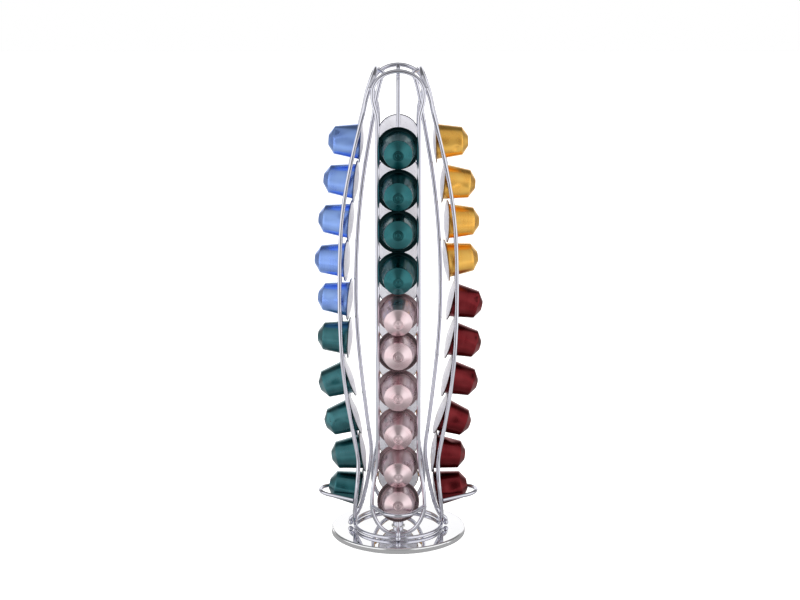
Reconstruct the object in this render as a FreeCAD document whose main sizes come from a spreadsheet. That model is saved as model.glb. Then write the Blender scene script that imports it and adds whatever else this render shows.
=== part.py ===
import FreeCAD, Part
import math
import os

import Sketcher
from FreeCAD import Placement, Rotation, Vector

# Rotating holder for coffee capsules. A weighted mirror disc carries a low pivot, and a wire
# carousel turns on it. Four upright columns, a quarter turn apart, each hold ten capsules.
# +Z is up, the front column faces -Y, and the origin is the centre of the underside.
# Heights of the carousel are given above the mirror face of the disc.

COLUMNS = (("front", -90), ("right", 0), ("rear", 90), ("left", 180))

# How near an edge has to lie to the place that is asked for, and what counts as nothing
SAME_PLACE = 0.01
NOTHING = 1e-7

# Driving sizes: millimetres and degrees
SIZES = (
    # Base
    ("disc_radius", 59.8, "weighted base disc"),
    ("disc_thickness", 5.0, "weighted base disc"),
    ("disc_top_round", 1.6, "rounding of the upper rim"),
    ("disc_foot_round", 0.8, "rounding of the lower rim"),
    ("pad_thickness", 1.0, "anti-slip ring under the disc"),
    ("pad_inset", 3.0, "disc edge to pad edge"),
    ("pad_hole_radius", 10.0, "opening around the pivot"),
    # Pivot
    ("pocket_radius", 7.5, "recess in the underside of the disc"),
    ("pocket_depth", 2.5, "recess in the underside of the disc"),
    ("bush_flange_radius", 6.0, "thrust flange on the disc"),
    ("bush_flange_thickness", 0.5, "thrust flange on the disc"),
    ("bush_wall", 1.0, "sleeve of the bush"),
    ("bush_stand_out", 0.2, "sleeve below the recess ceiling"),
    ("seat_clearance", 0.02, "fit of pieces that stay together"),
    ("running_clearance", 0.05, "radial fit of the turning shank"),
    ("shank_radius", 2.5, "pivot screw"),
    ("head_radius", 4.5, "pivot screw"),
    ("head_thickness", 1.1, "pivot screw"),
    ("key_radius", 1.3, "socket in the screw head"),
    ("key_depth", 0.7, "socket in the screw head"),
    ("washer_radius", 5.2, "both washers"),
    ("washer_thickness", 0.5, "plain washer"),
    ("spring_thickness", 0.3, "spring washer"),
    ("spring_rise", 0.15, "dish of the spring washer"),
    ("hub_radius", 4.75, "boss in the middle of the carousel"),
    ("hub_height", 4.0, "boss in the middle of the carousel"),
    ("hub_round", 0.8, "upper edge of the boss"),
    ("screw_depth", 3.0, "thread inside the boss"),
    # Ring and arms
    ("ring_radius", 38.6, "centre line of the lower ring"),
    ("ring_wire_radius", 1.6, "wire of the lower ring"),
    ("ring_gap", 0.55, "ring above the mirror"),
    ("arm_radius", 1.6, "two arms from boss to ring"),
    # Wires
    ("wire_radius", 1.75, "wire of loops, back wires and trays"),
    ("weld_gap", 0.05, "seat of one wire on another"),
    # Guide loops: height of each station above the one below
    ("shoulder_rise", 34.0, "mirror to the widest place"),
    ("waist_rise", 29.0, "to the slimmest place"),
    ("neck_rise", 20.0, "to where the sides become parallel"),
    ("lower_flank_rise", 47.0, "to a place below the belly"),
    ("belly_rise", 87.5, "to the greatest reach"),
    ("upper_flank_rise", 88.5, "to a place above the belly"),
    ("collar_rise", 64.0, "to where the sides open for loading"),
    ("arch_foot_rise", 24.5, "to the foot of the top arch"),
    ("arch_top_rise", 18.5, "to the top of the arch"),
    # Guide loops: distance from the axis at each station
    ("shoulder_reach", 37.4, "at the shoulder"),
    ("waist_reach", 35.1, "at the waist"),
    ("neck_reach", 37.9, "at the neck"),
    ("lower_flank_reach", 45.8, "below the belly"),
    ("belly_reach", 50.9, "at the belly"),
    ("upper_flank_reach", 45.4, "above the belly"),
    ("collar_reach", 31.4, "at the collar"),
    ("arch_foot_reach", 25.4, "at the foot of the arch"),
    # Guide loops: half of the clear distance between the wire centres
    ("shoulder_half_width", 23.1, "at the shoulder"),
    ("waist_half_width", 19.5, "at the waist"),
    ("channel_half_width", 17.7, "where the capsules slide"),
    ("arch_side_gap", 3.45, "reach less half width, at the foot of the arch"),
    # Guide loops: outward slope going up, and inward slope of the half width
    ("shoulder_slope", -0.10, "at the shoulder"),
    ("waist_narrowing", 0.19, "at the waist"),
    ("neck_slope", 0.19, "at the neck"),
    ("lower_flank_slope", 0.14, "below the belly"),
    ("upper_flank_slope", -0.165, "above the belly"),
    ("collar_slope", -0.26, "at the collar"),
    ("arch_slope", -0.34, "lean of the arch"),
    # Back wires: depth of the channel behind the loop at the same stations
    ("shoulder_depth", 8.1, "at the shoulder"),
    ("waist_depth", 10.7, "at the waist"),
    ("neck_depth", 13.0, "at the neck"),
    ("lower_flank_depth", 14.9, "below the belly"),
    ("belly_depth", 14.0, "at the belly"),
    ("upper_flank_depth", 13.7, "above the belly"),
    ("collar_depth", 9.9, "at the collar"),
    ("shoulder_back_slope", -0.23, "at the shoulder"),
    ("waist_back_slope", -0.12, "at the waist"),
    ("neck_back_slope", 0.15, "at the neck"),
    ("lower_flank_back_slope", 0.12, "below the belly"),
    ("upper_flank_back_slope", -0.12, "above the belly"),
    ("collar_back_slope", -0.17, "at the collar"),
    # Back wires: the hook under the arch and the foot over the loop
    ("hook_angle", 28.0, "rise of the hook where it meets the arch"),
    ("hook_depth", 6.5, "arch top to the inmost bend"),
    ("hook_drop", 5.5, "arch top to the inmost bend"),
    ("hook_leg", 3.5, "bend to the straight part"),
    ("hook_leg_slope", 0.32, "outward run of the leg going down"),
    ("foot_rise", 11.2, "loop foot to the start of the flare"),
    ("foot_inset", 4.2, "loop foot to the start of the flare"),
    ("flare_slope", 0.46, "outward run where the flare starts"),
    ("crossing_reach", 0.6, "loop foot to the place above it"),
    ("crossing_gap", 0.4, "back wire above the loop foot"),
    ("crossing_slope", 1.6, "outward run above the loop foot"),
    ("foot_reach", 4.0, "loop foot to the ball end"),
    ("ball_radius", 2.3, "ball end of a back wire"),
    ("ball_height", 3.0, "centre of the ball above the mirror"),
    ("ball_neck", 2.0, "wire end above the centre of the ball"),
    # Outlet trays
    ("tray_root_height", 31.5, "where a tray meets its loop"),
    ("tray_tip_height", 34.0, "outer bend"),
    ("tray_tip_radius", 14.0, "outer bend"),
    ("tray_tip_gap", 5.4, "tip of the lowest capsule to the outer bend"),
    ("tray_gap", 0.1, "end of a tray beside its loop"),
    # Welds
    ("bead_radius", 1.9, "weld between neighbouring loops"),
    ("bead_rise", 4.0, "weld above the foot of the arch"),
    ("bead_stand_out", 1.7, "weld outside the place where the loops meet"),
    # Capsules
    ("flange_radius", 18.5, "rim of a capsule"),
    ("flange_thickness", 0.9, "rim of a capsule"),
    ("cup_radius", 15.25, "cup at its rim"),
    ("cup_shoulder_radius", 12.1, "cup at its shoulder"),
    ("cup_shoulder_height", 22.9, "cup at its shoulder"),
    ("cup_tip_radius", 4.5, "flat end"),
    ("cup_length", 28.0, "flat end"),
    ("cup_wall", 0.55, "sheet of the cup"),
    ("cup_dimple_radius", 3.4, "recess in the flat end"),
    ("cup_dimple_depth", 0.7, "recess in the flat end"),
    ("cup_shoulder_round", 1.4, "rounding at the shoulder"),
    ("lid_radius", 17.9, "foil lid"),
    ("lid_dome", 2.4, "bulge of the foil"),
    ("lid_thickness", 0.4, "foil lid"),
    ("lowest_capsule_height", 34.9, "centre of the lowest rim"),
    ("capsule_pitch", 34.93, "from one capsule to the next"),
    ("lean_offset", 8.5, "how far a leaning capsule moves out"),
)

# Capsules of each column by colour, from the top down. Each has the lean of its tip in degrees,
# upward positive, its shift outward from the middle of the channel in millimetres, and its turn
# about the upright in degrees, counterclockwise from above. The channels have play enough for it.
IN_TRAY = (10.0, -0.9, 0.0)
CAPSULES = {
    "front": {
        "green": ((-3.5, 0.1, 0.0), (-2.5, 1.1, 0.0), (5.0, -0.9, 0.0), (-7.0, -1.5, 0.0)),
        "rose": ((-8.5, 0.6, 0.0), (3.5, -0.6, 0.0), (-3.0, 0.5, 0.0), (-8.0, -0.6, 0.0),
                 (-11.0, 0.2, 0.0), IN_TRAY),
    },
    "right": {
        "gold": ((1.5, 1.1, 0.0), (-5.4, 0.4, 2.0), (-1.2, 0.2, 5.0), (6.0, -2.9, 6.0)),
        "red": ((-12.9, 0.0, 2.5), (-15.0, 0.1, 2.5), (-15.5, 0.6, 2.5), (-21.0, -0.9, 2.0),
                (-7.5, 0.7, 2.5), IN_TRAY),
    },
    "rear": {
        "navy": ((1.0, 0.6, 0.0), (-5.5, -1.1, 0.0), (-1.5, -0.8, 0.0), (4.0, -0.6, 0.0),
                 (-7.0, -0.4, 0.0)),
        "gold": ((-4.0, -0.2, 0.0), (-8.0, 0.3, 0.0), (-13.0, -0.3, 0.0), (-10.0, 0.0, 0.0),
                 IN_TRAY),
    },
    "left": {
        "blue": ((3.3, 0.7, -1.0), (4.9, -1.6, -5.0), (4.2, -1.2, -6.0), (1.5, 0.8, -7.0),
                 (4.4, -2.4, -6.0)),
        "teal": ((2.6, -0.5, -4.5), (-19.3, 0.2, 0.0), (-19.0, 0.1, 0.0), (-9.0, 0.3, -2.0),
                 IN_TRAY),
    },
}

doc = FreeCAD.newDocument("capsule_holder")
sizes = doc.addObject("Spreadsheet::Sheet", "Sizes")
for row, (alias, value, note) in enumerate(SIZES, start=1):
    sizes.set("A%d" % row, alias)
    sizes.set("B%d" % row, str(value))
    sizes.set("C%d" % row, note)
    sizes.setAlias("B%d" % row, alias)
doc.recompute()

DISC_TOP = "Sizes.pad_thickness + Sizes.disc_thickness"
nodes = []


def size(expression):
    """Value of an expression over the sheet."""
    return float(sizes.evalExpression(expression))


def node(item, label):
    """Names an object as a sub-part that is written out."""
    item.Label = label
    nodes.append(item)
    return item


# Bodies of revolution

def constrain_corner(sketch, index, radius, height):
    """Ties the start of line number index to its radius and height."""
    for kind, axis, expression in (("DistanceX", -2, radius), ("DistanceY", -1, height)):
        if expression == "0":
            sketch.addConstraint(Sketcher.Constraint("PointOnObject", index, 1, axis))
        else:
            number = sketch.addConstraint(
                Sketcher.Constraint(kind, -1, 1, index, 1, size(expression)))
            sketch.setExpression("Constraints[%d]" % number, expression)


def turned_body(name, corners):
    """Body turned about Z from a closed section of (radius, height) expressions."""
    body = doc.addObject("PartDesign::Body", name)
    sketch = body.newObject("Sketcher::SketchObject", name + "_section")
    plane = next(item for item in body.Origin.OriginFeatures if item.Role == "XZ_Plane")
    sketch.AttachmentSupport = [(plane, "")]
    sketch.MapMode = "FlatFace"
    points = [Vector(size(radius), size(height), 0) for radius, height in corners]
    count = len(points)
    for index in range(count):
        sketch.addGeometry(Part.LineSegment(points[index], points[(index + 1) % count]))
    for index in range(count):
        sketch.addConstraint(
            Sketcher.Constraint("Coincident", index, 2, (index + 1) % count, 1))
    for index, (radius, height) in enumerate(corners):
        constrain_corner(sketch, index, radius, height)
    turn = body.newObject("PartDesign::Revolution", name + "_turn")
    turn.Profile = sketch
    turn.ReferenceAxis = (sketch, ["V_Axis"])
    turn.Angle = 360
    doc.recompute()
    return body, turn


def round_edges(body, feature, name, radius, wanted):
    """Rounds the circular edges of a turned feature that have the wanted radius and height."""
    names = []
    for number, edge in enumerate(feature.Shape.Edges, start=1):
        curve = edge.Curve
        if not isinstance(curve, Part.Circle):
            continue
        for ring, height in wanted:
            away = max(abs(curve.Radius - size(ring)), abs(curve.Center.z - size(height)))
            if away < SAME_PLACE:
                names.append("Edge%d" % number)
    fillet = body.newObject("PartDesign::Fillet", name)
    fillet.Base = (feature, names)
    fillet.setExpression("Radius", radius)
    body.Tip = fillet
    doc.recompute()
    return fillet


def lift(item, expression):
    """Places an object at a height."""
    item.setExpression("Placement.Base.z", expression)


# Base: weighted disc, anti-slip ring and bush

def make_disc():
    bore = "Sizes.shank_radius + Sizes.running_clearance + Sizes.bush_wall + Sizes.seat_clearance"
    body, turn = turned_body("disc", (
        ("Sizes.pocket_radius", "0"),
        ("Sizes.disc_radius", "0"),
        ("Sizes.disc_radius", "Sizes.disc_thickness"),
        (bore, "Sizes.disc_thickness"),
        (bore, "Sizes.pocket_depth"),
        ("Sizes.pocket_radius", "Sizes.pocket_depth")))
    upper = round_edges(body, turn, "disc_upper_rim", "Sizes.disc_top_round",
                        (("Sizes.disc_radius", "Sizes.disc_thickness"),))
    round_edges(body, upper, "disc_lower_rim", "Sizes.disc_foot_round",
                (("Sizes.disc_radius", "0"),))
    lift(body, "Sizes.pad_thickness")
    node(body, "base_disc")


def make_pad():
    edge = "Sizes.disc_radius - Sizes.pad_inset"
    body, _ = turned_body("pad", (
        ("Sizes.pad_hole_radius", "0"),
        (edge, "0"),
        (edge, "Sizes.pad_thickness"),
        ("Sizes.pad_hole_radius", "Sizes.pad_thickness")))
    node(body, "non_slip_pad")


def make_bush():
    bore = "Sizes.shank_radius + Sizes.running_clearance"
    sleeve = bore + " + Sizes.bush_wall"
    length = "Sizes.disc_thickness - Sizes.pocket_depth + Sizes.bush_stand_out"
    top = length + " + Sizes.bush_flange_thickness"
    body, _ = turned_body("bush", (
        (bore, "0"),
        (sleeve, "0"),
        (sleeve, length),
        ("Sizes.bush_flange_radius", length),
        ("Sizes.bush_flange_radius", top),
        (bore, top)))
    lift(body, DISC_TOP + " - (" + length + ")")
    node(body, "pivot_bush")


# Pivot: screw, washers and boss, which turn with the carousel

SLEEVE_FOOT = "Sizes.pad_thickness + Sizes.pocket_depth - Sizes.bush_stand_out"
SPRING_HEIGHT = "(Sizes.spring_thickness + Sizes.spring_rise)"


def make_washers():
    hole = "Sizes.shank_radius + Sizes.running_clearance"
    plain, _ = turned_body("washer", (
        (hole, "0"),
        ("Sizes.washer_radius", "0"),
        ("Sizes.washer_radius", "Sizes.washer_thickness"),
        (hole, "Sizes.washer_thickness")))
    lift(plain, SLEEVE_FOOT + " - Sizes.washer_thickness")
    node(plain, "thrust_washer")
    spring, _ = turned_body("spring", (
        (hole, "0"),
        ("Sizes.washer_radius", "Sizes.spring_rise"),
        ("Sizes.washer_radius", "Sizes.spring_rise + Sizes.spring_thickness"),
        (hole, "Sizes.spring_thickness")))
    lift(spring, SLEEVE_FOOT + " - Sizes.washer_thickness - " + SPRING_HEIGHT)
    node(spring, "spring_washer")


def make_screw():
    head_top = "Sizes.head_thickness"
    stack = SPRING_HEIGHT + " + Sizes.washer_thickness"
    web = "Sizes.disc_thickness - Sizes.pocket_depth + Sizes.bush_stand_out"
    length = " + ".join((head_top, stack, web, "Sizes.bush_flange_thickness", "Sizes.screw_depth"))
    body, _ = turned_body("screw", (
        ("0", "Sizes.key_depth"),
        ("Sizes.key_radius", "Sizes.key_depth"),
        ("Sizes.key_radius", "0"),
        ("Sizes.head_radius", "0"),
        ("Sizes.head_radius", head_top),
        ("Sizes.shank_radius", head_top),
        ("Sizes.shank_radius", length),
        ("0", length)))
    lift(body, SLEEVE_FOOT + " - (" + stack + ") - Sizes.head_thickness")
    node(body, "pivot_screw")


def make_hub():
    bore = "Sizes.shank_radius + Sizes.seat_clearance"
    depth = "Sizes.screw_depth + Sizes.seat_clearance"
    body, turn = turned_body("hub", (
        (bore, "0"),
        ("Sizes.hub_radius", "0"),
        ("Sizes.hub_radius", "Sizes.hub_height"),
        ("0", "Sizes.hub_height"),
        ("0", depth),
        (bore, depth)))
    round_edges(body, turn, "hub_edge", "Sizes.hub_round",
                (("Sizes.hub_radius", "Sizes.hub_height"),))
    lift(body, DISC_TOP + " + Sizes.bush_flange_thickness")
    node(body, "hub_boss")


# Lower ring and the two arms that carry it

RING_HEIGHT = "Sizes.ring_gap + Sizes.ring_wire_radius"


def make_ring():
    ring = doc.addObject("Part::Torus", "ring")
    ring.setExpression("Radius1", "Sizes.ring_radius")
    ring.setExpression("Radius2", "Sizes.ring_wire_radius")
    lift(ring, DISC_TOP + " + " + RING_HEIGHT)
    return node(ring, "lower_ring")


def make_arms(ring):
    """Two arms, front and rear, saddled onto the boss and the ring."""
    trimmed = []
    for name, angle in COLUMNS[::2]:
        rod = doc.addObject("Part::Cylinder", "arm_rod_" + name)
        rod.setExpression("Radius", "Sizes.arm_radius")
        rod.setExpression("Height", "Sizes.ring_radius")
        rod.Placement = Placement(Vector(), Rotation(Vector(0, 0, 1), Vector(*direction(angle))))
        lift(rod, DISC_TOP + " + " + RING_HEIGHT)
        inner = doc.addObject("Part::Cut", "arm_at_hub_" + name)
        inner.Base = rod
        core = doc.addObject("Part::Cylinder", "arm_core_" + name)
        core.setExpression("Radius", "Sizes.hub_radius")
        core.setExpression("Height", "Sizes.bush_flange_thickness + Sizes.hub_height")
        lift(core, DISC_TOP)
        inner.Tool = core
        outer = doc.addObject("Part::Cut", "arm_" + name)
        outer.Base = inner
        outer.Tool = ring
        trimmed.append(outer)
    pair = doc.addObject("Part::Compound", "arms")
    pair.Links = trimmed
    node(pair, "hub_arms")


def direction(angle):
    """Unit direction of a column, seen from above."""
    return math.cos(math.radians(angle)), math.sin(math.radians(angle)), 0.0


make_disc()
make_pad()
make_bush()
make_washers()
make_screw()
make_hub()
ring = make_ring()
make_arms(ring)


# Wire paths: in a column's own frame X points outward, Y across and Z up

def arc_edge(start, heading, end):
    """Arc that leaves start along heading and arrives at end."""
    chord = end - start
    span = chord.Length
    along = chord / span
    across = heading - along * heading.dot(along)
    if across.Length < NOTHING:
        return Part.LineSegment(start, end).toShape()
    half_turn = math.atan2(across.Length, heading.dot(along))
    bulge = across / across.Length * (span / 2 * math.tan(half_turn / 2))
    return Part.Arc(start, start + chord / 2 + bulge, end).toShape()


def tangent_arcs(stations):
    """Pairs of arcs through the stations, smooth wherever they meet.
    Each station is a point and the heading of the wire there."""
    edges = []
    for (start, leave), (end, arrive) in zip(stations, stations[1:]):
        leave = leave / leave.Length
        arrive = arrive / arrive.Length
        chord = end - start
        square = 2 * (1 - leave.dot(arrive))
        linear = 2 * chord.dot(leave + arrive)
        constant = chord.dot(chord)
        if square < NOTHING:
            reach = constant / linear
        else:
            reach = (math.sqrt(linear * linear + 4 * square * constant) - linear) / (2 * square)
        first = start + leave * reach
        second = end - arrive * reach
        middle = (first + second) / 2
        edges.append(arc_edge(start, leave, middle))
        edges.append(arc_edge(middle, (second - first) / (second - first).Length, end))
    return edges


STATIONS = ("shoulder", "waist", "neck", "lower_flank", "belly", "upper_flank", "collar",
            "arch_foot", "arch_top")


def station_heights():
    """Height of each station, added up from the mirror."""
    heights = {}
    total = 0.0
    for station in STATIONS:
        total += getattr(sizes, station + "_rise")
        heights[station] = total
    return heights


def loop_stations():
    """Right half of a guide loop, from its foot to the top of its arch."""
    heights = station_heights()
    foot = size(RING_HEIGHT) + sizes.ring_wire_radius + sizes.wire_radius + sizes.weld_gap
    stations = [
        (Vector(sizes.ring_radius, 0, foot), Vector(0, 1, 0)),
        (Vector(sizes.shoulder_reach, sizes.shoulder_half_width, heights["shoulder"]),
         Vector(sizes.shoulder_slope, 0, 1)),
        (Vector(sizes.waist_reach, sizes.waist_half_width, heights["waist"]),
         Vector(0, -sizes.waist_narrowing, 1)),
    ]
    for station in STATIONS[2:7]:
        slope = 0 if station == "belly" else getattr(sizes, station + "_slope")
        place = Vector(getattr(sizes, station + "_reach"), sizes.channel_half_width,
                       heights[station])
        stations.append((place, Vector(slope, 0, 1)))
    arch_half_width = sizes.arch_foot_reach - sizes.arch_side_gap
    stations.append((Vector(sizes.arch_foot_reach, arch_half_width, heights["arch_foot"]),
                     Vector(sizes.arch_slope, 0, 1)))
    arch_top_reach = sizes.arch_foot_reach + sizes.arch_slope * sizes.arch_top_rise
    stations.append((Vector(arch_top_reach, 0, heights["arch_top"]), Vector(0, -1, 0)))
    return stations


def back_stations():
    """Back wire, from the hook under the arch down to its ball end."""
    heights = station_heights()
    loop = loop_stations()
    foot = loop[0][0].z
    reach = loop[-1][0].x
    top = loop[-1][0].z
    rise = math.radians(sizes.hook_angle)
    seat = sizes.wire_radius + sizes.weld_gap
    bend = reach - sizes.hook_depth
    stations = [
        (Vector(reach - seat * math.cos(rise), 0, top - seat * math.sin(rise)),
         Vector(-math.cos(rise), 0, -math.sin(rise))),
        (Vector(bend, 0, top - sizes.hook_drop), Vector(0, 0, -1)),
        (Vector(bend + sizes.hook_leg / 2, 0, top - sizes.hook_drop - sizes.hook_leg),
         Vector(sizes.hook_leg_slope, 0, -1)),
    ]
    for station in reversed(STATIONS[:7]):
        depth = getattr(sizes, station + "_depth")
        slope = 0 if station == "belly" else getattr(sizes, station + "_back_slope")
        place = Vector(getattr(sizes, station + "_reach") - depth, 0, heights[station])
        stations.append((place, Vector(-slope, 0, -1)))
    start = Vector(sizes.ring_radius - sizes.foot_inset, 0, foot + sizes.foot_rise)
    crossing = foot + 2 * sizes.wire_radius + sizes.crossing_gap
    over = Vector(sizes.ring_radius + sizes.crossing_reach, 0, crossing)
    stations.append((start, Vector(sizes.flare_slope, 0, -1)))
    stations.append((over, Vector(sizes.crossing_slope, 0, -1)))
    stations.append((Vector(sizes.ring_radius + sizes.foot_reach, 0,
                            sizes.ball_height + sizes.ball_neck), Vector(0, 0, -1)))
    return stations


def point_at(edges, height):
    """Point of a path at a height."""
    points = Part.Wire(edges).discretize(Number=2000)
    return min(points, key=lambda point: abs(point.z - height))


def capsule_place(angle, below, lean, shift, turn):
    """Placement of one capsule that has so many others below it in its column."""
    height = sizes.lowest_capsule_height + below * sizes.capsule_pitch
    channel = (point_at(loop_path, height).x + point_at(back_path, height).x) / 2
    out = channel + shift + sizes.lean_offset * math.sin(math.radians(abs(lean)))
    column = Rotation(Vector(0, 0, 1), angle)
    heading = Rotation(Vector(0, 0, 1), angle + turn)
    tip_over = Rotation(Vector(0, 1, 0), 90 - lean)
    place = column.multVec(Vector(out, 0, height)) + Vector(0, 0, size(DISC_TOP))
    return Placement(place, heading.multiply(tip_over))


def tray_edges(loop):
    """Hoop of an outlet tray, from one side wire of its loop round the tip of the lowest
    capsule to the other."""
    root = point_at(loop, sizes.tray_root_height)
    tip = capsule_place(0, 0, *IN_TRAY).multVec(Vector(0, 0, sizes.cup_length))
    tip_end = tip.x + sizes.cup_tip_radius * math.sin(math.radians(abs(IN_TRAY[0])))
    tray_reach = tip_end + sizes.tray_tip_gap + sizes.wire_radius
    centre = tray_reach - sizes.tray_tip_radius
    away = math.hypot(centre - root.x, root.y)
    slant = math.atan2(root.y, centre - root.x) - math.asin(sizes.tray_tip_radius / away)
    seat = sizes.wire_radius + sizes.tray_gap
    grade = (sizes.tray_tip_height - sizes.tray_root_height) / (tray_reach - root.x)

    def place(reach, across):
        return Vector(reach, across, sizes.tray_root_height + grade * (reach - root.x))

    start_reach = root.x + seat * math.cos(slant)
    start_across = root.y - seat * math.sin(slant)
    touch_reach = centre + sizes.tray_tip_radius * math.sin(slant)
    touch_across = sizes.tray_tip_radius * math.cos(slant)
    arc = Part.Arc(place(touch_reach, touch_across), place(tray_reach, 0),
                   place(touch_reach, -touch_across))
    return [
        Part.LineSegment(place(start_reach, start_across),
                         place(touch_reach, touch_across)).toShape(),
        arc.toShape(),
        Part.LineSegment(place(touch_reach, -touch_across),
                         place(start_reach, -start_across)).toShape(),
    ]


# Wires

def swept_wire(name, edges):
    """Round wire along a smooth path."""
    path = doc.addObject("Part::Feature", name + "_path")
    path.Shape = Part.Wire(edges)
    first = edges[0]
    start = first.valueAt(first.FirstParameter)
    heading = first.tangentAt(first.FirstParameter)
    section = doc.addObject("Part::Circle", name + "_section")
    section.setExpression("Radius", "Sizes.wire_radius")
    section.Placement = Placement(start, Rotation(Vector(0, 0, 1), heading))
    sweep = doc.addObject("Part::Sweep", name + "_sweep")
    sweep.Sections = [section]
    sweep.Spine = (path, ["Edge%d" % number for number in range(1, len(edges) + 1)])
    sweep.Solid = True
    sweep.Frenet = False
    return sweep


def stand(item, angle):
    """Turns an object into its column and sets it on the mirror face."""
    item.Placement = Placement(Vector(), Rotation(Vector(0, 0, 1), angle))
    lift(item, DISC_TOP)


def make_loop(name, angle, edges):
    half = swept_wire("loop_" + name, edges)
    other = doc.addObject("Part::Mirroring", "loop_" + name + "_mirror")
    other.Source = half
    other.Normal = Vector(0, 1, 0)
    whole = doc.addObject("Part::Fuse", "loop_" + name)
    whole.Base = half
    whole.Tool = other
    stand(whole, angle)
    return node(whole, "guide_loop_" + name)


def make_back_wire(name, angle, edges):
    wire = swept_wire("back_" + name, edges)
    ball = doc.addObject("Part::Sphere", "back_" + name + "_ball")
    ball.setExpression("Radius", "Sizes.ball_radius")
    ball.setExpression("Placement.Base.x", "Sizes.ring_radius + Sizes.foot_reach")
    ball.setExpression("Placement.Base.z", "Sizes.ball_height")
    whole = doc.addObject("Part::Fuse", "back_" + name)
    whole.Base = wire
    whole.Tool = ball
    stand(whole, angle)
    node(whole, "back_wire_" + name)


def make_tray(name, angle, edges):
    tray = swept_wire("tray_" + name, edges)
    stand(tray, angle)
    node(tray, "outlet_tray_" + name)


def make_welds(loops, edges):
    """Beads in the grooves where neighbouring loops meet below the arches."""
    beads = []
    meeting = point_at(edges, station_heights()["arch_foot"] + sizes.bead_rise)
    reach = (meeting.x + meeting.y) / math.sqrt(2) + sizes.bead_stand_out
    corners = zip(loops, loops[1:] + loops[:1])
    for (name, angle), (one, other) in zip(COLUMNS, corners):
        bead = doc.addObject("Part::Sphere", "bead_" + name)
        bead.setExpression("Radius", "Sizes.bead_radius")
        corner = math.radians(angle + 45)
        bead.Placement.Base = Vector(reach * math.cos(corner), reach * math.sin(corner), 0)
        lift(bead, DISC_TOP + " + %.3f" % meeting.z)
        for step, tool in enumerate((one, other)):
            cut = doc.addObject("Part::Cut", "bead_%s_cut_%d" % (name, step))
            cut.Base = bead
            cut.Tool = tool
            bead = cut
        beads.append(bead)
    group = doc.addObject("Part::Compound", "beads")
    group.Links = beads
    node(group, "corner_welds")


loop_path = tangent_arcs(loop_stations())
back_path = tangent_arcs(back_stations())
tray_path = tray_edges(loop_path)
loops = []
for column, angle in COLUMNS:
    loops.append(make_loop(column, angle, loop_path))
    make_back_wire(column, angle, back_path)
    make_tray(column, angle, tray_path)
make_welds(loops, loop_path)


# Capsules

def make_cup():
    """Pattern of the cup: its rim stands at zero height and its tip points up."""
    inner_tip = "Sizes.cup_tip_radius + 2 * Sizes.cup_wall"
    floor = "Sizes.cup_length - Sizes.cup_dimple_depth"
    body, turn = turned_body("cup", (
        ("Sizes.cup_radius - Sizes.cup_wall", "0"),
        ("Sizes.flange_radius", "0"),
        ("Sizes.flange_radius", "Sizes.flange_thickness"),
        ("Sizes.cup_radius", "Sizes.flange_thickness"),
        ("Sizes.cup_shoulder_radius", "Sizes.cup_shoulder_height"),
        ("Sizes.cup_tip_radius", "Sizes.cup_length"),
        ("Sizes.cup_dimple_radius", "Sizes.cup_length"),
        ("Sizes.cup_dimple_radius", floor),
        ("0", floor),
        ("0", floor + " - Sizes.cup_wall"),
        (inner_tip, floor + " - Sizes.cup_wall"),
        ("Sizes.cup_shoulder_radius - Sizes.cup_wall",
         "Sizes.cup_shoulder_height - Sizes.cup_wall")))
    round_edges(body, turn, "cup_shoulder", "Sizes.cup_shoulder_round",
                (("Sizes.cup_shoulder_radius", "Sizes.cup_shoulder_height"),))
    return body


def make_lid():
    """Pattern of the foil lid: a thin dome below the rim plane."""
    ball = "((Sizes.lid_radius ^ 2 + Sizes.lid_dome ^ 2) / (2 * Sizes.lid_dome))"
    inside = "(" + ball + " - Sizes.lid_thickness)"
    shells = []
    for name, radius in (("outer", ball), ("inner", inside)):
        shell = doc.addObject("Part::Sphere", "lid_" + name)
        shell.setExpression("Radius", radius)
        shell.setExpression("Angle1", "asin((" + ball + " - Sizes.lid_dome) / " + radius + ")")
        shell.setExpression("Placement.Base.z", "Sizes.lid_dome - " + ball)
        shells.append(shell)
    lid = doc.addObject("Part::Cut", "lid")
    lid.Base, lid.Tool = shells
    return lid


def make_group(label, pattern, places):
    """Node of equal pieces, one for each placement."""
    copies = []
    for number, place in enumerate(places, start=1):
        copy = doc.addObject("App::Link", "%s_%d" % (label, number))
        copy.LinkedObject = pattern
        copy.Placement = place
        copies.append(copy)
    group = doc.addObject("Part::Compound", label + "_group")
    group.Links = copies
    node(group, label)


cup = make_cup()
lid = make_lid()
doc.recompute()
lid_flip = Placement(Vector(), Rotation(Vector(1, 0, 0), 180))
for column, angle in COLUMNS:
    below = sum(len(rows) for rows in CAPSULES[column].values())
    for colour, rows in CAPSULES[column].items():
        places = []
        for lean, shift, turn in rows:
            below -= 1
            places.append(capsule_place(angle, below, lean, shift, turn))
        make_group("%s_capsules_%s" % (column, colour), cup, places)
        lid_places = [place.multiply(lid_flip) for place in places]
        make_group("%s_lids_%s" % (column, colour), lid, lid_places)

doc.recompute()


# Check everything and write one file for each sub-part

for item in doc.Objects:
    if "Invalid" in item.State or "Error" in item.State:
        raise RuntimeError("failed object: " + item.Label)
os.makedirs("parts", exist_ok=True)
for item in nodes:
    shape = item.Shape
    if shape.isNull() or not shape.isValid() or not shape.Solids:
        raise RuntimeError("bad shape: " + item.Label)
    box = shape.BoundBox
    print("%-22s solids %2d volume %9.1f  x %7.2f %7.2f  y %7.2f %7.2f  z %7.2f %7.2f" % (
        item.Label, len(shape.Solids), shape.Volume,
        box.XMin, box.XMax, box.YMin, box.YMax, box.ZMin, box.ZMax))
    shape.exportStep(os.path.join("parts", item.Label + ".step"))
print("%d sub-parts written" % len(nodes))
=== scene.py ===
import math

import bmesh
import bpy
import numpy as np
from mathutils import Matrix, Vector, noise


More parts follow.
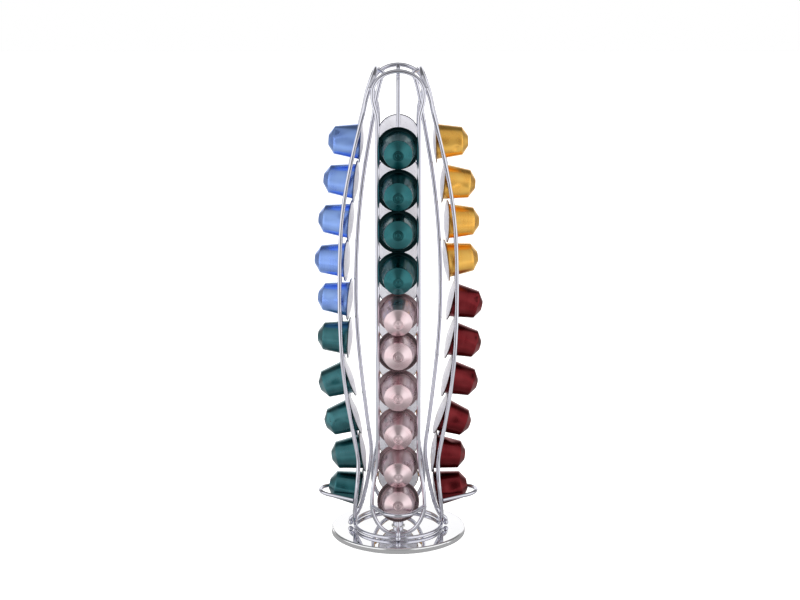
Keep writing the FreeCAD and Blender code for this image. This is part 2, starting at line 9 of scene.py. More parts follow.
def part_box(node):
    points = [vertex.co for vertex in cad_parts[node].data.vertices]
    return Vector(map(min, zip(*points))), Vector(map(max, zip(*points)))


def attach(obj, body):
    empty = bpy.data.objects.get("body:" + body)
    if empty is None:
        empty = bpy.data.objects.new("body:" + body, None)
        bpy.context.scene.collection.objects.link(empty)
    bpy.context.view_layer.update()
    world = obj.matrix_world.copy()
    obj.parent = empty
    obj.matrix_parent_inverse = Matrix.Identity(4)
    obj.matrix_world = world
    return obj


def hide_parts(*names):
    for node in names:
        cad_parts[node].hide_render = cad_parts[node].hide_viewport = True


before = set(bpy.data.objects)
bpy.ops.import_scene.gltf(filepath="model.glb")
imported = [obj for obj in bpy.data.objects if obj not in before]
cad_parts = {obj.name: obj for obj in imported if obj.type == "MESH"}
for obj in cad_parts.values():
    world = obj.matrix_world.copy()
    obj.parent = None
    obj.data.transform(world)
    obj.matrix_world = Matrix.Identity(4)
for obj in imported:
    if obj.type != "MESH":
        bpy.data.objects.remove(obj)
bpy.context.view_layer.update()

# Looks of the rotating holder for coffee capsules. The wires, ring, hub and disc are shown as
# they are, with finishes of their own. Every capsule and foil lid is built here in more detail,
# where its solid lies. Lengths are metres, and the sections of cup and lid are in millimetres.

MM = 0.001
DISC_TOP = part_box("base_disc")[1].z
WHITE = (1, 1, 1, 1)


# Shader helpers

# Range in which nearly all values of a noise lie
NOISE_LOW, NOISE_HIGH = 0.3, 0.7


def connect(tree, value, socket):
    """Sets a socket to a plain value, or links it to another node's output."""
    if isinstance(value, bpy.types.NodeSocket):
        tree.links.new(value, socket)
    else:
        socket.default_value = value


def feed(tree, item, **inputs):
    """Gives the inputs of a node values or links, by their names."""
    for name, value in inputs.items():
        connect(tree, value, item.inputs[name.replace("_", " ")])
    return item


def add_node(tree, kind, **inputs):
    """New shader node, with values or links for its inputs."""
    return feed(tree, tree.nodes.new(kind), **inputs)


def new_material(name, **inputs):
    """Material with one principled shader. Returns it with its tree and that shader node."""
    material = bpy.data.materials.new(name)
    material.use_nodes = True
    tree = material.node_tree
    return material, tree, feed(tree, tree.nodes["Principled BSDF"], **inputs)


def object_place(tree):
    """Coordinates on the object, in metres."""
    return add_node(tree, "ShaderNodeTexCoord").outputs["Object"]


def attribute(tree, name):
    """Node that reads an attribute of the mesh."""
    item = add_node(tree, "ShaderNodeAttribute")
    item.attribute_name = name
    return item


def stretched(tree, vector, factors):
    """Coordinates multiplied by a different factor along each axis."""
    item = add_node(tree, "ShaderNodeVectorMath")
    item.operation = "MULTIPLY"
    connect(tree, vector, item.inputs[0])
    connect(tree, factors, item.inputs[1])
    return item.outputs["Vector"]


def noise_value(tree, vector, scale, detail=3.0):
    """Grey noise, from 0 to 1, on the given coordinates."""
    item = add_node(tree, "ShaderNodeTexNoise", Vector=vector, Scale=scale, Detail=detail)
    return item.outputs["Fac"]


def remap(tree, value, low, high, start=NOISE_LOW, end=NOISE_HIGH):
    """Moves a value from the range start to end to the range low to high."""
    item = add_node(tree, "ShaderNodeMapRange", Value=value, From_Min=start, From_Max=end,
                    To_Min=low, To_Max=high)
    return item.outputs["Result"]


def smooth_step(tree, value, start, end):
    """Rises smoothly from 0 at start to 1 at end."""
    item = add_node(tree, "ShaderNodeMapRange", Value=value, From_Min=start, From_Max=end)
    item.interpolation_type = "SMOOTHSTEP"
    return item.outputs["Result"]


def arithmetic(tree, operation, *values):
    """Result of an operation on plain or linked values."""
    item = add_node(tree, "ShaderNodeMath")
    item.operation = operation
    for socket, value in zip(item.inputs, values):
        connect(tree, value, socket)
    return item.outputs[0]


def between(tree, share, low, high):
    """Value from low to high, by a share from 0 to 1."""
    return arithmetic(tree, "MULTIPLY_ADD", share, high - low, low)


def mixed_colour(tree, factor, first, second):
    """Blend of two colours by a factor."""
    item = add_node(tree, "ShaderNodeMix")
    item.data_type = "RGBA"
    return feed(tree, item, Factor=factor, A=first, B=second).outputs["Result"]


def bump(tree, height, strength, distance):
    """Surface normal from a height."""
    item = add_node(tree, "ShaderNodeBump", Height=height, Strength=strength, Distance=distance)
    return item.outputs["Normal"]


# Finishes of the wires, disc and small pieces

# Two colours of each finish, between which its noise blends
CHROME = ((0.67, 0.67, 0.75, 1), (0.74, 0.74, 0.81, 1))
STEEL = ((0.95, 0.95, 0.96, 1), (0.86, 0.86, 0.88, 1))
ZINC = ((0.55, 0.56, 0.58, 1), (0.75, 0.75, 0.74, 1))
RUBBER = ((0.03, 0.03, 0.03, 1), (0.06, 0.06, 0.06, 1))
NYLON = ((0.70, 0.69, 0.64, 1), (0.80, 0.79, 0.75, 1))
FOIL = ((0.91, 0.90, 0.95, 1), (0.97, 0.96, 0.99, 1))

# Repeats per metre of the hairlines in the disc: close together across, and long along them
HAIRLINES = (3000.0, 60.0, 60.0)


def link_surface(tree, shader, tone, colours, roughness, relief, strength, depth):
    """Colour and roughness follow one noise, and the relief follows the same or another."""
    feed(tree, shader, Base_Color=mixed_colour(tree, tone, *colours),
         Roughness=remap(tree, tone, *roughness), Normal=bump(tree, relief, strength, depth))


def chrome_finish():
    """Bright chrome plating: nearly a mirror, with a faint ripple from the drawn wire."""
    material, tree, shader = new_material("chrome", Metallic=1.0)
    place = object_place(tree)
    patches = noise_value(tree, place, scale=60.0, detail=1.0)
    ripple = noise_value(tree, place, scale=300.0, detail=0.0)
    link_surface(tree, shader, patches, CHROME, roughness=(0.02, 0.05),
                 relief=ripple, strength=0.04, depth=0.0001)
    return material


def mirror_finish():
    """Polished steel disc with a very faint haze and hairline marks."""
    material, tree, shader = new_material("mirror", Metallic=1.0)
    place = object_place(tree)
    haze = noise_value(tree, place, scale=25.0)
    hairlines = noise_value(tree, stretched(tree, place, HAIRLINES), scale=1.0)
    link_surface(tree, shader, haze, STEEL, roughness=(0.015, 0.045),
                 relief=hairlines, strength=0.02, depth=0.00002)
    return material


def grainy_finish(name, colours, scale, roughness, strength, depth, **inputs):
    """Finish whose colour, roughness and relief all follow one fine grain."""
    material, tree, shader = new_material(name, **inputs)
    grain = noise_value(tree, object_place(tree), scale)
    link_surface(tree, shader, grain, colours, roughness, grain, strength, depth)
    return material


def zinc_finish():
    """Plated screw and washers, a little grainy."""
    return grainy_finish("zinc", ZINC, scale=1500.0, roughness=(0.25, 0.45), strength=0.2,
                         depth=0.00005, Metallic=1.0)


def rubber_finish():
    """Dark matt rubber ring under the disc."""
    return grainy_finish("rubber", RUBBER, scale=2500.0, roughness=(0.7, 0.95), strength=0.4,
                         depth=0.0001)


def nylon_finish():
    """Off-white moulded bush."""
    return grainy_finish("nylon", NYLON, scale=1200.0, roughness=(0.4, 0.6), strength=0.15,
                         depth=0.00005, Subsurface_Weight=0.1)


# Finishes of the capsules

# Repeats of the noise round a cup and along its section, so that it makes fine rings, and how
# far the rings lighten the colour
RINGS = (1.0, 80.0, 1.0)
RING_STREAKS = 0.35

# Repeats per millimetre of the soft clouds in a cup, and of the broad and fine waves in a foil
CLOUDS = 0.11
FOIL_BROAD, FOIL_FINE = 0.16, 1.1

# Roughness of a cup, and how far its clouds take that down and up
CUP_ROUGHNESS = 0.29
SMOOTHER, ROUGHER = 0.04, 0.06

# The metal is smoother at the rim of a cup, and its colour there is darkened as painted shade:
# roughness and share of the colour there, and the heights in millimetres between which that
# changes
RIM_ROUGHNESS = CUP_ROUGHNESS / 2
RIM_PAINTED_SHADE = 0.35
RIM_START, RIM_END = 0.7, 2.4

# Two colours of each anodised metal, and the weight of its clear coat
CUP_LOOKS = {
    "green": ((0.006, 0.100, 0.115, 1), (0.024, 0.155, 0.170, 1), 0.4),
    "teal": ((0.006, 0.110, 0.130, 1), (0.030, 0.185, 0.210, 1), 0.9),
    "rose": ((0.70, 0.51, 0.54, 1), (0.86, 0.70, 0.73, 1), 0.2),
    "gold": ((0.92, 0.46, 0.075, 1), (1.00, 0.60, 0.130, 1), 0.3),
    "red": ((0.140, 0.009, 0.013, 1), (0.220, 0.025, 0.030, 1), 0.08),
    "blue": ((0.220, 0.370, 0.90, 1), (0.320, 0.510, 1.00, 1), 0.3),
    "navy": ((0.022, 0.038, 0.170, 1), (0.045, 0.070, 0.260, 1), 0.10),
}


def cup_finish(name, colour, bright, coat):
    """Anodised aluminium cup. The metal is turned, so its grain runs round the axis. Its colour
    is darkened towards the rim as painted shade.
    """
    material, tree, shader = new_material(
        name, Metallic=1.0, Coat_Weight=coat, Coat_Roughness=0.12, Anisotropic=0.7,
        Anisotropic_Rotation=0.25)
    round_map = add_node(tree, "ShaderNodeUVMap")
    round_map.uv_map = "round"
    tangent = add_node(tree, "ShaderNodeTangent")
    tangent.direction_type = "UV_MAP"
    tangent.uv_map = "round"
    rings = noise_value(tree, stretched(tree, round_map.outputs["UV"], RINGS), scale=1.0,
                        detail=1.0)
    clouds = noise_value(tree, attribute(tree, "grain").outputs["Vector"], CLOUDS, detail=0.5)
    tint = mixed_colour(tree, remap(tree, clouds, 0.0, 1.0), colour, bright)
    streaked = mixed_colour(tree, remap(tree, rings, 0.0, RING_STREAKS), tint, bright)
    # Painted shade: below the rim heights the colour darkens to this share of itself
    rim_shade_colour = tuple(part * RIM_PAINTED_SHADE for part in colour[:3]) + (1,)
    rough = remap(tree, clouds, CUP_ROUGHNESS - SMOOTHER, CUP_ROUGHNESS + ROUGHER)
    height = attribute(tree, "height").outputs["Fac"]
    above_rim = remap(tree, height, 0.0, 1.0, RIM_START, RIM_END)
    feed(tree, shader, Base_Color=mixed_colour(tree, above_rim, rim_shade_colour, streaked),
         Roughness=remap(tree, above_rim, RIM_ROUGHNESS, rough, 0.0, 1.0),
         Normal=bump(tree, rings, strength=0.05, distance=0.0001),
         Tangent=tangent.outputs["Tangent"])
    return material


def foil_finish():
    """Thin aluminium foil under pale lacquer, satin, with soft crinkles."""
    material, tree, shader = new_material("foil", Metallic=0.3)
    place = attribute(tree, "grain").outputs["Vector"]
    broad = noise_value(tree, place, FOIL_BROAD)
    fine = noise_value(tree, place, FOIL_FINE)
    feed(tree, shader, Base_Color=mixed_colour(tree, broad, *FOIL),
         Roughness=remap(tree, fine, 0.26, 0.40),
         Normal=bump(tree, fine, strength=0.25, distance=0.0002))
    return material


CUP_FINISHES = {name: cup_finish("cup " + name, *look) for name, look in CUP_LOOKS.items()}


# Sections of cup and lid, as corners of radius, height and rounding in millimetres.
# Height runs along the axis, from the back of the rim to the tip.

CUP_SECTION = (
    (0.0, 27.45, 0.0), (1.5, 27.45, 0.25), (1.9, 27.15, 0.25), (3.2, 27.15, 0.3),
    (3.6, 27.95, 0.3), (4.6, 27.95, 0.5), (12.1, 22.9, 1.0), (15.25, 0.62, 0.55),
    (17.5, 0.62, 0.15), (17.8, 0.9, 0.2), (18.5, 0.9, 0.4), (18.5, 0.0, 0.4),
    (17.6, 0.0, 0.2), (17.3, 0.12, 0.1), (15.0, 0.12, 0.2), (11.7, 22.5, 0.8),
    (4.4, 27.3, 0.3), (3.9, 26.85, 0.2), (0.0, 26.85, 0.0),
)
LID_SECTION_OUTSIDE = (
    (17.85, -0.02, 0.0), (17.85, -0.14, 0.05), (15.9, -0.18, 0.1), (15.6, -0.42, 0.2),
    (15.1, -0.48, 0.0),
)

# Radius and height at which the inside of the foil ends on the rim
LID_EDGE = (17.6, 0.0)

LID_DOME_RADIUS = 15.1
LID_DOME_RISE = 1.92
LID_DOME_RINGS = 12
FOIL_THICKNESS = 0.12

# Angle that one step of a rounding turns. A rounding takes up a little less than half of each
# side of its corner: the length of the side divided by this number.
ROUNDING_STEP = math.radians(18)
SIDE_DIVISOR = 2.05

# Straight stretches of the section of a cup are divided into lengths of at most this
LONGEST_STRETCH = 1.6


def rounded_section(corners):
    """Points of a section whose corners are rounded by arcs."""
    points = []
    for index, (radius, height, rounding) in enumerate(corners):
        corner = Vector((radius, height))
        if rounding == 0.0:
            points.append(corner)
            continue
        back = Vector(corners[index - 1][:2]) - corner
        ahead = Vector(corners[index + 1][:2]) - corner
        inside = back.angle(ahead)
        cut = min(rounding / math.tan(inside / 2), back.length / SIDE_DIVISOR,
                  ahead.length / SIDE_DIVISOR)
        turn = math.pi - inside
        steps = max(2, math.ceil(turn / ROUNDING_STEP))
        start = corner + back.normalized() * cut
        end = corner + ahead.normalized() * cut
        for step in range(steps + 1):
            share = step / steps
            first = start.lerp(corner, share)
            points.append(first.lerp(corner.lerp(end, share), share))
    return points


def straight_rings(points):
    """Adds points on long straight stretches, so that dents can bend them."""
    result = [points[0]]
    for start, end in zip(points, points[1:]):
        count = max(1, math.ceil((end - start).length / LONGEST_STRETCH))
        result.extend(start.lerp(end, step / count) for step in range(1, count + 1))
    return result


def lid_section():
    """Section of the foil lid: flat on the rim, then a shallow dome away from the cup."""
    edge = rounded_section(LID_SECTION_OUTSIDE)
    dome = []
    for ring in range(1, LID_DOME_RINGS + 1):
        radius = LID_DOME_RADIUS * (1 - ring / LID_DOME_RINGS)
        rise = LID_DOME_RISE * (1 - (radius / LID_DOME_RADIUS) ** 2)
        dome.append(Vector((radius, LID_SECTION_OUTSIDE[-1][1] - rise)))
    outside = edge + dome
    inside = [Vector((point.x, point.y + FOIL_THICKNESS)) for point in reversed(outside)]
    return outside + inside[:-2] + [Vector(LID_EDGE)]


# Turned meshes

# Number of straight sides round a cup, and the angle of the first one: the seam of the map
# runs along the underside
SEGMENTS = 112
SEAM_ANGLE = -math.pi / 2

# Points of a section nearer to the axis than this lie on it
ON_AXIS = 1e-9

# Each shell takes its grain from another place, which is its seed times this
GRAIN_SPREAD = 40


class Turned:
    """Collects turned shells, each with its own place, for one mesh."""

    def __init__(self):
        self.vertices = []
        self.faces = []
        self.spans = []
        self.grains = []
        self.heights = []

    def add(self, section, place, reshape, seed):
        """Turns a section about its axis, reshapes it in its own frame and puts it in place."""
        centre, across, up, axis = place
        shift = Vector((seed, seed, seed)) * GRAIN_SPREAD
        rows = []
        for point in section:
            row = []
            for step in range(1 if point.x < ON_AXIS else SEGMENTS):
                angle = 2 * math.pi * step / SEGMENTS + SEAM_ANGLE
                local = reshape(Vector((point.x * math.cos(angle), point.x * math.sin(angle),
                                        point.y)))
                row.append(len(self.vertices))
                self.vertices.append(
                    centre + (across * local.x + up * local.y + axis * local.z) * MM)
                self.grains.append(local + shift)
                self.heights.append(point.y)
            rows.append(row)
        lengths = [0.0]
        for one, other in zip(section, section[1:]):
            lengths.append(lengths[-1] + (other - one).length)
        shares = [length / lengths[-1] for length in lengths]
        for row, following, start, end in zip(rows, rows[1:], shares, shares[1:]):
            self.join(row, following, start, end, seed)
        if len(rows[0]) > 1 and len(rows[-1]) > 1:
            self.join(rows[-1], rows[0], 1.0, 0.0, seed)

    def join(self, row, following, start, end, seed):
        """Faces between two rows, with their place on the map."""
        if len(row) == 1 and len(following) == 1:
            return
        for step in range(SEGMENTS):
            after = (step + 1) % SEGMENTS
            left, right = step / SEGMENTS + seed, (step + 1) / SEGMENTS + seed
            if len(row) == 1:
                self.faces.append((row[0], following[step], following[after]))
                self.spans.append(((left, start), (left, end), (right, end)))
            elif len(following) == 1:
                self.faces.append((row[step], following[0], row[after]))
                self.spans.append(((left, start), (left, end), (right, start)))
            else:
                self.faces.append((row[step], following[step], following[after], row[after]))
                self.spans.append(((left, start), (left, end), (right, end), (right, start)))

    def build(self, name, material):
        """Smooth mesh object of everything collected."""
        mesh = bpy.data.meshes.new(name)
        mesh.from_pydata([tuple(vertex) for vertex in self.vertices], [], self.faces)
        round_map = mesh.uv_layers.new(name="round")
        flat = [number for span in self.spans for pair in span for number in pair]
        round_map.data.foreach_set("uv", flat)
        grain = mesh.attributes.new("grain", "FLOAT_VECTOR", "POINT")
        grain.data.foreach_set("vector", [number for item in self.grains for number in item])
        height = mesh.attributes.new("height", "FLOAT", "POINT")
        height.data.foreach_set("value", self.heights)
        mesh.materials.append(material)
        shell = bmesh.new()
        shell.from_mesh(mesh)
        bmesh.ops.recalc_face_normals(shell, faces=shell.faces)
        shell.to_mesh(mesh)
        shell.free()
        mesh.shade_smooth()
        item = bpy.data.objects.new(name, mesh)
        bpy.context.collection.objects.link(item)
        return item


# Places of the capsules, read from their solids

# Angles that are tried for the axis of a cup, in steps of a twentieth of a degree
ANGLES = np.radians(np.arange(-30, 30, 0.05))
ANGLE_ROUNDS = 3

# Vertices of a solid that are nearer to each other than this are one
SAME_PLACE = 1e-6

UPRIGHT = Vector((0, 0, 1))
OUTWARD = {
    "front": Vector((0, -1, 0)),
    "right": Vector((1, 0, 0)),
    "rear": Vector((0, 1, 0)),
    "left": Vector((-1, 0, 0)),
}


def loose_parts(mesh):
    """Vertices of each separate solid in a mesh."""
    shell = bmesh.new()
    shell.from_mesh(mesh)
    bmesh.ops.remove_doubles(shell, verts=shell.verts, dist=SAME_PLACE)
    waiting = set(shell.verts)
    parts = []
    while waiting:
        front = [waiting.pop()]
        part = []
        while front:
            vertex = front.pop()
            part.append(vertex.co.copy())
            for edge in vertex.link_edges:
                other = edge.other_vert(vertex)
                if other in waiting:
                    waiting.remove(other)
                    front.append(other)
        parts.append(np.array(part))
    shell.free()
    return parts


def least_extent(points, base, aside):
    """Angle from base towards aside of the direction in which the points measure least."""
    along, across = points @ np.array(base), points @ np.array(aside)
    return min(ANGLES, key=lambda turn: np.ptp(along * math.cos(turn) + across * math.sin(turn)))


def capsule_place(points, outward):
    """Rim centre and three directions of a cup, from the vertices of its solid.
    Its two ends are flat and square to the axis, so it measures least along the axis."""
    heading = outward
    for _ in range(ANGLE_ROUNDS):
        lean = least_extent(points, heading, UPRIGHT)
        axis = heading * math.cos(lean) + UPRIGHT * math.sin(lean)
        across = UPRIGHT.cross(heading)
        turn = least_extent(points, axis, across)
        heading = axis * math.cos(turn) + across * math.sin(turn)
        heading.z = 0
        heading.normalize()
    axis = heading * math.cos(lean) + UPRIGHT * math.sin(lean)
    across = UPRIGHT.cross(heading)
    up = axis.cross(across)
    centre = Vector((0, 0, 0))
    for direction in (across, up):
        along = points @ np.array(direction)
        centre += direction * (along.min() + along.max()) / 2
    return centre + axis * (points @ np.array(axis)).min(), across, up, axis


def capsule_places(node):
    """Places of all cups in a node, from the top down."""
    outward = OUTWARD[node.split("_")[0]]
    places = [capsule_place(part, outward) for part in loose_parts(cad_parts[node].data)]
    return sorted(places, key=lambda place: -place[0].z)


# Dents and uneven places, in millimetres

# Nothing bends a cup below this height, at its rim
RIM_TOP = 2

# Half the width of the soft crease round a flat place, and the distance of the middle of a
# hollow from the axis
CREASE = 0.6
HOLLOW_REACH = 13.5


def flattened(local, direction, depth):
    """Pushes what stands beyond a plane back onto it, with a soft crease."""
    beyond = local.dot(direction) - depth
    if beyond <= -CREASE:
        return local
    push = beyond if beyond > CREASE else (beyond + CREASE) ** 2 / (4 * CREASE)
    return local - direction * push


def dimpled(local, centre, size, depth):
    """Presses in a round hollow."""
    away = (local - centre).length / size
    if away >= 1:
        return local
    inward = -Vector((local.x, local.y, 0)).normalized()
    return local + inward * depth * (1 - away * away) ** 2


def facet(angle, tilt, depth):
    """Flat place: direction round the axis, tilt towards the tip, and distance of its plane."""
    spread = math.radians(angle)
    rise = math.radians(tilt)
    direction = Vector((math.cos(spread) * math.cos(rise), math.sin(spread) * math.cos(rise),
                        math.sin(rise)))
    return lambda local: flattened(local, direction, depth) if local.z > RIM_TOP else local


def hollow(angle, height, size, depth):
    """Round hollow in the side of a cup."""
    spread = math.radians(angle)
    centre = Vector((math.cos(spread) * HOLLOW_REACH, math.sin(spread) * HOLLOW_REACH, height))
    return lambda local: dimpled(local, centre, size, depth) if local.z > RIM_TOP else local


# Capsules that the photograph shows dented: column and number from the top. The angle of a
# dent is 90 at the top of the cup. The side towards the photograph's camera is 0 on the left
# column and 180 on the right one.
DENTS = {
    ("left", 1): (facet(48, 14, 15.7),),
    ("left", 3): (hollow(30, 6, 5, 0.5),),
    ("left", 5): (hollow(345, 12, 8, 0.8),),
    ("left", 7): (hollow(20, 8, 9, 0.5),),
    ("left", 8): (hollow(352, 14, 7, 0.8), facet(30, 35, 21.4)),
    ("right", 1): (hollow(200, 18, 4.2, 1.1),),
    ("right", 2): (hollow(200, 15, 8.5, 1.0),),
    ("right", 5): (facet(140, 18, 16.9),),
    ("right", 6): (facet(136, 14, 15.9),),
    ("right", 7): (facet(130, 18, 17.1),),
    ("right", 8): (hollow(170, 9, 8, 0.7),),
    ("right", 9): (hollow(96, 15, 7, 0.9),),
    ("right", 10): (hollow(165, 14, 8, 0.6),),
    ("front", 5): (hollow(80, 14, 8, 0.5),),
    ("front", 9): (hollow(60, 12, 8, 0.5),),
}

# Soft swellings that every cup has: repeats per millimetre and height, the height on the cup
# and the radius at which they end, and steps by which they differ from cup to cup
SWELL_SCALE = 0.075
SWELL_HEIGHT = 0.16
SWELL_TOP = 27
SWELL_RADIUS = 4
CUP_STEPS = (7.3, 11.1, 3.7)

# Crinkles of every lid: repeats per millimetre, height and how abruptly they end at the edge of
# the dome, and steps by which they differ from lid to lid
CRINKLE_SCALE = 0.17
CRINKLE_HEIGHT = 0.14
CRINKLE_POWER = 4
LID_STEPS = (5.1, 9.7, 3.0)


def cup_reshape(column, number):
    """All that makes one cup differ from the pattern."""
    dents = DENTS.get((column, number), ())
    drift = Vector((number * CUP_STEPS[0], len(column) * CUP_STEPS[1], number * CUP_STEPS[2]))

    def reshape(local):
        """Swells a point of the cup and presses in the dents."""
        if RIM_TOP < local.z < SWELL_TOP:
            swell = noise.noise(local * SWELL_SCALE + drift) * SWELL_HEIGHT
            side = Vector((local.x, local.y, 0))
            if side.length > SWELL_RADIUS:
                local = local + side.normalized() * swell
        for dent in dents:
            local = dent(local)
        return local

    return reshape


def lid_reshape(column, number):
    """Soft crinkles of a foil lid, strongest on the dome."""
    drift = Vector((number * LID_STEPS[0], len(column) * LID_STEPS[1], LID_STEPS[2]))

    def reshape(local):
        """Lifts or lowers a point of the dome."""
        radius = math.hypot(local.x, local.y)
        if radius >= LID_DOME_RADIUS:
            return local
        share = 1 - (radius / LID_DOME_RADIUS) ** CRINKLE_POWER
        flat = Vector((local.x, local.y, 0))
        wave = noise.noise(flat * CRINKLE_SCALE + drift) * CRINKLE_HEIGHT * share
        return local + Vector((0, 0, wave))

    return reshape


# The capsules

# The seed of a capsule grows by this from one to the next in its column
SEED_STEP = 0.137


def make_capsules():
    """Detailed cups and lids for every group of the frame."""
    section = straight_rings(rounded_section(CUP_SECTION))
    foil_section = lid_section()
    foil = foil_finish()
    numbers = {column: 0 for column in OUTWARD}
    groups = [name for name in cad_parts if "_capsules_" in name]
    tops = {name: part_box(name)[1].z for name in groups}
    for name in sorted(groups, key=lambda item: -tops[item]):
        column, _, colour = name.split("_")
        cups, lids = Turned(), Turned()
        for place in capsule_places(name):
            numbers[column] += 1
            number = numbers[column]
            seed = number * SEED_STEP + len(column)
            cups.add(section, place, cup_reshape(column, number), seed)
            lids.add(foil_section, place, lid_reshape(column, number), seed)
        lid_node = "%s_lids_%s" % (column, colour)
        cup_item = cups.build("%s_cups_%s" % (column, colour), CUP_FINISHES[colour])
        lid_item = lids.build("%s_foils_%s" % (column, colour), foil)
        for item, node, slot in ((cup_item, name, "cup_" + colour), (lid_item, lid_node, "foil")):
            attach(item, "carousel")
            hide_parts(node)


# The pieces that are shown as they are

def dress_frame():
    """Gives each carried-over node its finish."""
    chrome = chrome_finish()
    finishes = {
        "base_disc": mirror_finish(),
        "non_slip_pad": rubber_finish(),
        "pivot_bush": nylon_finish(),
        "pivot_screw": zinc_finish(),
    }
    finishes["thrust_washer"] = finishes["spring_washer"] = finishes["pivot_screw"]
    for name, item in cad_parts.items():
        if "_capsules_" in name or "_lids_" in name:
            continue
        for slot in item.material_slots:
            slot.material = finishes.get(name, chrome)


# Surroundings that reflections see

# Brightness by the angle in degrees from straight ahead of the object, the same to both sides.
# A dark front, light side walls and a back wall.
SURROUNDINGS = ((0, 0.18), (19, 0.18), (30, 1.22), (98, 1.22), (108, 0.34), (138, 0.34),
                (152, 1.08), (180, 1.08))
HALF_TURN = 180

# Brightness of the ceiling in front and behind, and how far back a direction points where one
# gives way to the other
CEILING_FRONT, CEILING_BACK = 0.58, 0.17
BEHIND_START, BEHIND_END = -0.1, 0.3

# Heights of a direction between which the surroundings give way to the ceiling, in front and
# behind
FRONT_TOP, FRONT_FOOT = 0.98, 0.30
BACK_TOP, BACK_FOOT = 0.50, 0.41


def surroundings(tree, place):
    """Brightness of the studio in the direction of a place."""
    direction = add_node(tree, "ShaderNodeVectorMath")
    direction.operation = "NORMALIZE"
    connect(tree, place, direction.inputs[0])
    split = add_node(tree, "ShaderNodeSeparateXYZ", Vector=direction.outputs["Vector"])
    aside = arithmetic(tree, "ABSOLUTE", split.outputs["X"])
    ahead = arithmetic(tree, "MULTIPLY", split.outputs["Y"], -1.0)
    turn = arithmetic(tree, "ARCTAN2", aside, ahead)
    ramp = add_node(tree, "ShaderNodeValToRGB")
    connect(tree, arithmetic(tree, "DIVIDE", turn, math.pi), ramp.inputs[0])
    stops = ramp.color_ramp.elements
    for angle, _ in SURROUNDINGS[1:-1]:
        stops.new(angle / HALF_TURN)
    for stop, (angle, brightness) in zip(stops, SURROUNDINGS):
        stop.position = angle / HALF_TURN
        stop.color = (brightness, brightness, brightness, 1)
    behind = smooth_step(tree, split.outputs["Y"], BEHIND_START, BEHIND_END)
    walls = smooth_step(tree, split.outputs["Z"], between(tree, behind, FRONT_TOP, BACK_TOP),
                        between(tree, behind, FRONT_FOOT, BACK_FOOT))
    ceiling = between(tree, behind, CEILING_FRONT, CEILING_BACK)
    above = arithmetic(tree, "SUBTRACT", ramp.outputs["Color"], ceiling)
    return arithmetic(tree, "MULTIPLY_ADD", above, walls, ceiling)


# Floor, room and lights

FLOOR_HALF_WIDTH = 2.2
FLOOR_FRONT = -3.2
FLOOR_BACK = 3.0

# Colour of the floor and its glow to the camera. Reflections see the floor darker under the
# object, which is painted shade: its brightness under the object and away from it, the radii in
# metres between which that changes, and its edge
FLOOR_COLOUR = (0.92, 0.92, 0.92, 1)
FLOOR_GLOW = 0.80
SHADED_FLOOR_NEAR, SHADED_FLOOR_FAR = 0.40, 0.80
SHADED_FLOOR_NEAR_RADIUS, SHADED_FLOOR_FAR_RADIUS = 0.10, 0.30
SHADED_FLOOR_EDGE_START, SHADED_FLOOR_EDGE_END = 0.50, 0.65

# Lights, by name, place, width and height. All have the same power and point at the same spot.
LIGHTS = (
    ("left", (-1.4, -0.9, 0.75), 0.8, 1.1),
    ("right", (1.4, -0.9, 0.75), 0.8, 1.1),
    ("front", (-0.2, -1.5, 1.7), 0.7, 0.5),
)
LIGHT_POWER = 14
LIGHT_AIM = Vector((0, 0, 0.22))


def rectangle(name, corners, material):
    """Flat piece of the studio."""
    mesh = bpy.data.meshes.new(name)
    mesh.from_pydata(corners, [], [(0, 1, 2, 3)])
    mesh.materials.append(material)
    item = bpy.data.objects.new(name, mesh)
    bpy.context.collection.objects.link(item)


def make_floor():
    """White floor to the camera. Reflections see it as part of the surroundings, with painted
    shade under the object.
    """
    material, tree, shader = new_material(
        "floor", Roughness=0.9, Base_Color=FLOOR_COLOUR, Emission_Color=WHITE,
        Emission_Strength=FLOOR_GLOW)
    place = object_place(tree)
    reach = add_node(tree, "ShaderNodeVectorMath")
    reach.operation = "LENGTH"
    connect(tree, place, reach.inputs[0])
    # Painted shade: reflections see the floor darker under the object and lighter away from it
    painted_floor_shade = remap(tree, reach.outputs["Value"], SHADED_FLOOR_NEAR, SHADED_FLOOR_FAR,
                  SHADED_FLOOR_NEAR_RADIUS, SHADED_FLOOR_FAR_RADIUS)
    beyond = smooth_step(tree, reach.outputs["Value"], SHADED_FLOOR_EDGE_START, SHADED_FLOOR_EDGE_END)
    glow = remap(tree, beyond, painted_floor_shade, surroundings(tree, place), 0.0, 1.0)
    lit = add_node(tree, "ShaderNodeEmission", Strength=glow)
    chosen = add_node(tree, "ShaderNodeMixShader")
    connect(tree, add_node(tree, "ShaderNodeLightPath").outputs["Is Camera Ray"],
            chosen.inputs[0])
    connect(tree, lit.outputs["Emission"], chosen.inputs[1])
    connect(tree, shader.outputs["BSDF"], chosen.inputs[2])
    feed(tree, tree.nodes["Material Output"], Surface=chosen.outputs["Shader"])
    rectangle("floor", [
        (-FLOOR_HALF_WIDTH, FLOOR_FRONT, 0), (FLOOR_HALF_WIDTH, FLOOR_FRONT, 0),
        (FLOOR_HALF_WIDTH, FLOOR_BACK, 0), (-FLOOR_HALF_WIDTH, FLOOR_BACK, 0)], material)


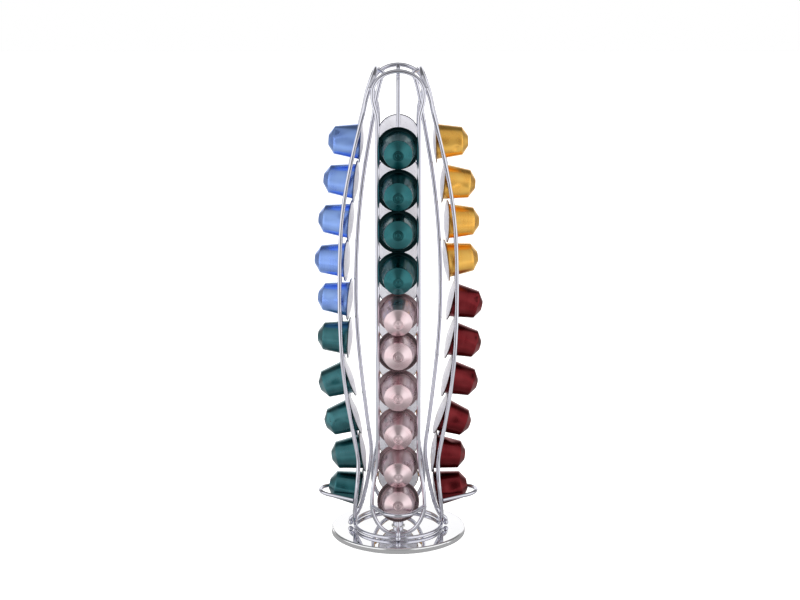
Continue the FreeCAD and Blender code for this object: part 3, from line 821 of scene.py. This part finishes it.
def make_world():
    """White room seen by the camera. Reflections see the surroundings."""
    world = bpy.data.worlds.new("studio")
    bpy.context.scene.world = world
    world.use_nodes = True
    tree = world.node_tree
    place = add_node(tree, "ShaderNodeTexCoord").outputs["Generated"]
    seen = add_node(tree, "ShaderNodeLightPath").outputs["Is Camera Ray"]
    brightness = add_node(tree, "ShaderNodeMix", Factor=seen, A=surroundings(tree, place), B=1.0)
    feed(tree, tree.nodes["Background"], Strength=brightness.outputs["Result"], Color=WHITE)


def make_light(name, place, width, height):
    """Soft light without highlights of its own."""
    light = bpy.data.lights.new(name, "AREA")
    light.shape = "RECTANGLE"
    light.size = width
    light.size_y = height
    light.energy = LIGHT_POWER
    item = bpy.data.objects.new(name, light)
    item.location = place
    item.rotation_euler = (LIGHT_AIM - Vector(place)).to_track_quat("-Z", "Y").to_euler()
    bpy.context.collection.objects.link(item)
    item.visible_camera = False
    item.visible_glossy = False


# Camera, as fitted to the photograph. Its height is above the disc, and lens and sensor are in
# millimetres. The axis of the object stands at this column of a picture of this width.

CAMERA_DISTANCE = 1.908
CAMERA_HEIGHT = 0.7006
CAMERA_PITCH = math.radians(14.457)
CAMERA_LENS = 101.4
CAMERA_SENSOR = 36.0
CAMERA_REACH = 50
FRAME_WIDTH = 800
AXIS_COLUMN = 398.2


def make_camera():
    """Camera of the main picture."""
    camera = bpy.data.cameras.new("camera")
    camera.lens = CAMERA_LENS
    camera.sensor_width = CAMERA_SENSOR
    camera.shift_x = (FRAME_WIDTH / 2 - AXIS_COLUMN) / FRAME_WIDTH
    camera.clip_end = CAMERA_REACH
    item = bpy.data.objects.new("camera", camera)
    item.location = (0, -CAMERA_DISTANCE, DISC_TOP + CAMERA_HEIGHT)
    item.rotation_euler = (math.pi / 2 - CAMERA_PITCH, 0, 0)
    bpy.context.collection.objects.link(item)
    bpy.context.scene.camera = item


dress_frame()
make_capsules()
make_floor()
for light in LIGHTS:
    make_light(*light)
make_world()
make_camera()
bpy.context.scene.view_settings.view_transform = "Standard"
